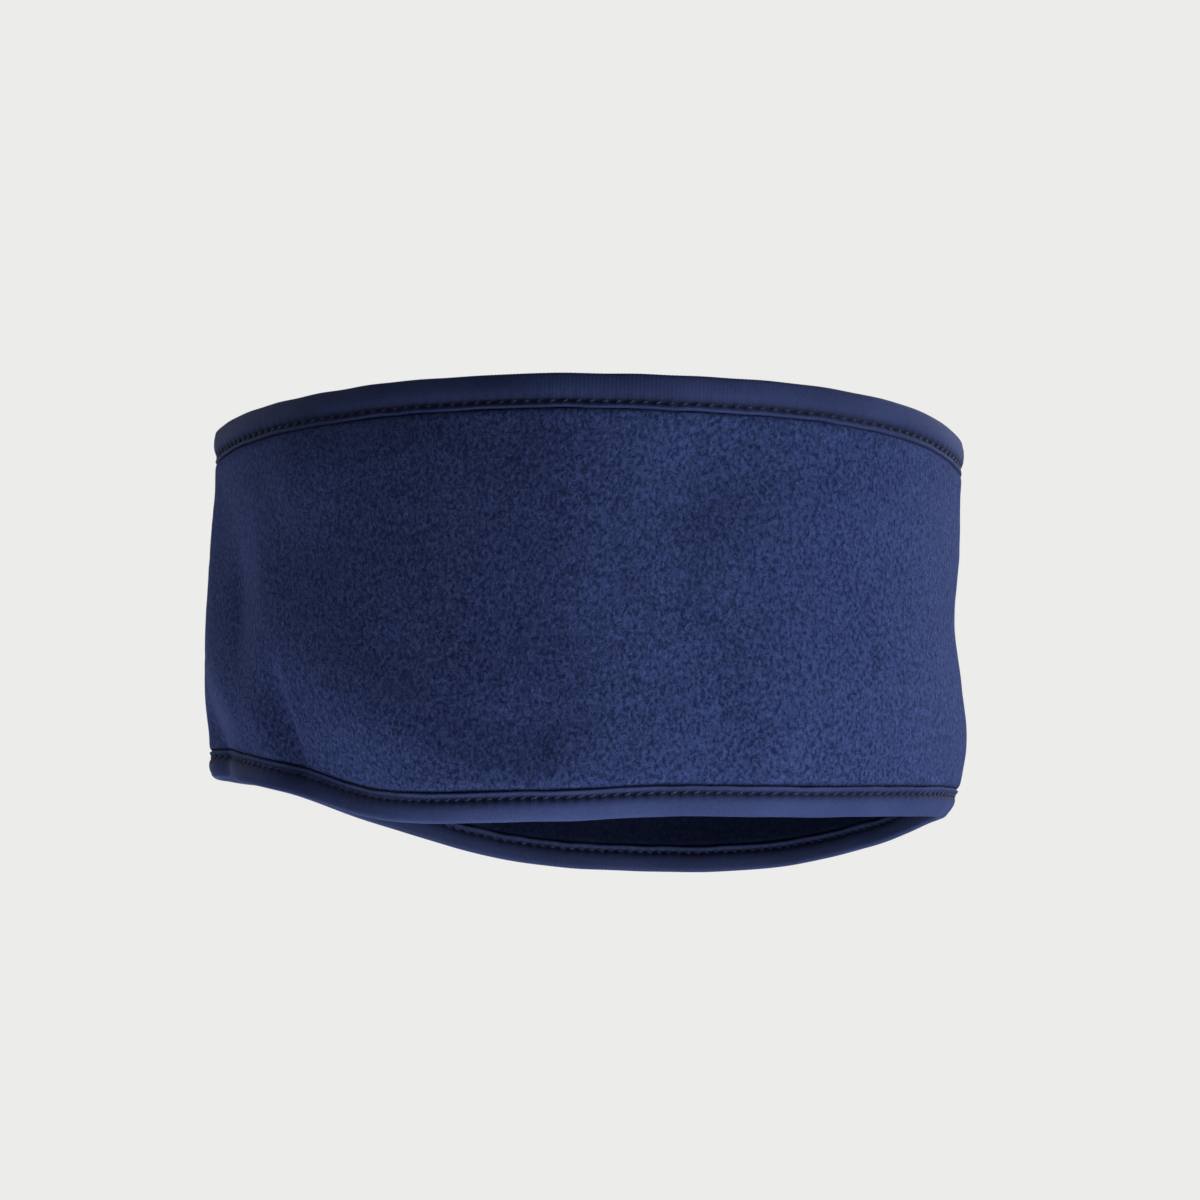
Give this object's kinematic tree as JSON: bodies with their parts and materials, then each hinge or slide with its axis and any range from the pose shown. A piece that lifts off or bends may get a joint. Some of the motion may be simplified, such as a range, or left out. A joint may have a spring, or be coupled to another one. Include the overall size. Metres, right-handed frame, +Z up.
{
  "type": "ear warmer headband",
  "caption": "Wide fleece ear warmer headband, a closed loop deeper over the ears than at the forehead, with a folded knit binding stitched over each rim.",
  "frame": {"origin": "middle of the hollow for the head, at the mount named head: midway between forehead and back of the head and between the ears, near mid height", "axes": "+Z up along the head, -X forehead, +X back of the head, -Y the ear side shown in the picture"},
  "size_m": [0.1976, 0.1629, 0.1103],
  "materials": {
    "fleece": "navy brushed fleece, short pebbled nap with a soft sheen",
    "binding": "navy stretch knit tape, fine upright ribs, smoother than the fleece"
  },
  "bodies": {
    "root": {"fleece_band": "fleece", "top_binding": "binding", "bottom_binding": "binding"}
  },
  "joints": []
}
